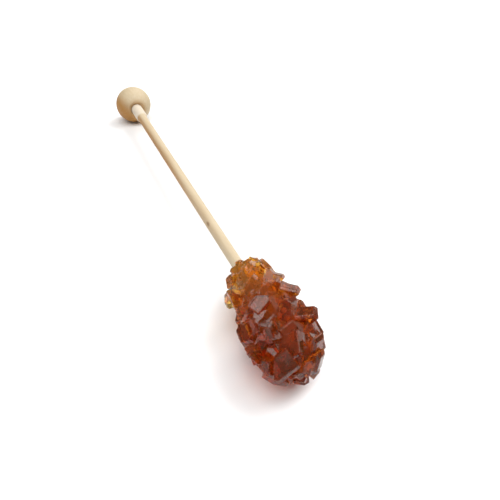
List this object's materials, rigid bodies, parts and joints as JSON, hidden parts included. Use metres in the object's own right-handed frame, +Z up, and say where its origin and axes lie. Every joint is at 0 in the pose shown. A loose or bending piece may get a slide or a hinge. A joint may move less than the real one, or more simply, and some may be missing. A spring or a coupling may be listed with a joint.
{
  "type": "rock candy stick",
  "caption": "Amber rock sugar crystals grown round one end of a pale wooden stick, with a turned wooden ball on the other end, lying on its side.",
  "frame": {"origin": "middle of the bounding box at the height of the table that the stick lies on", "axes": "+X along the stick from the wooden ball to the tip of the candy, +Z up from the table"},
  "size_m": [0.1507, 0.0172, 0.0186],
  "materials": {
    "pale_wood": "bare, lightly sanded birch",
    "amber_sugar": "glossy clear crystals, golden by the stick and reddish brown at the tip"
  },
  "bodies": {
    "root": {"ball": "pale_wood", "stick": "pale_wood", "candy": "amber_sugar"}
  },
  "joints": []
}
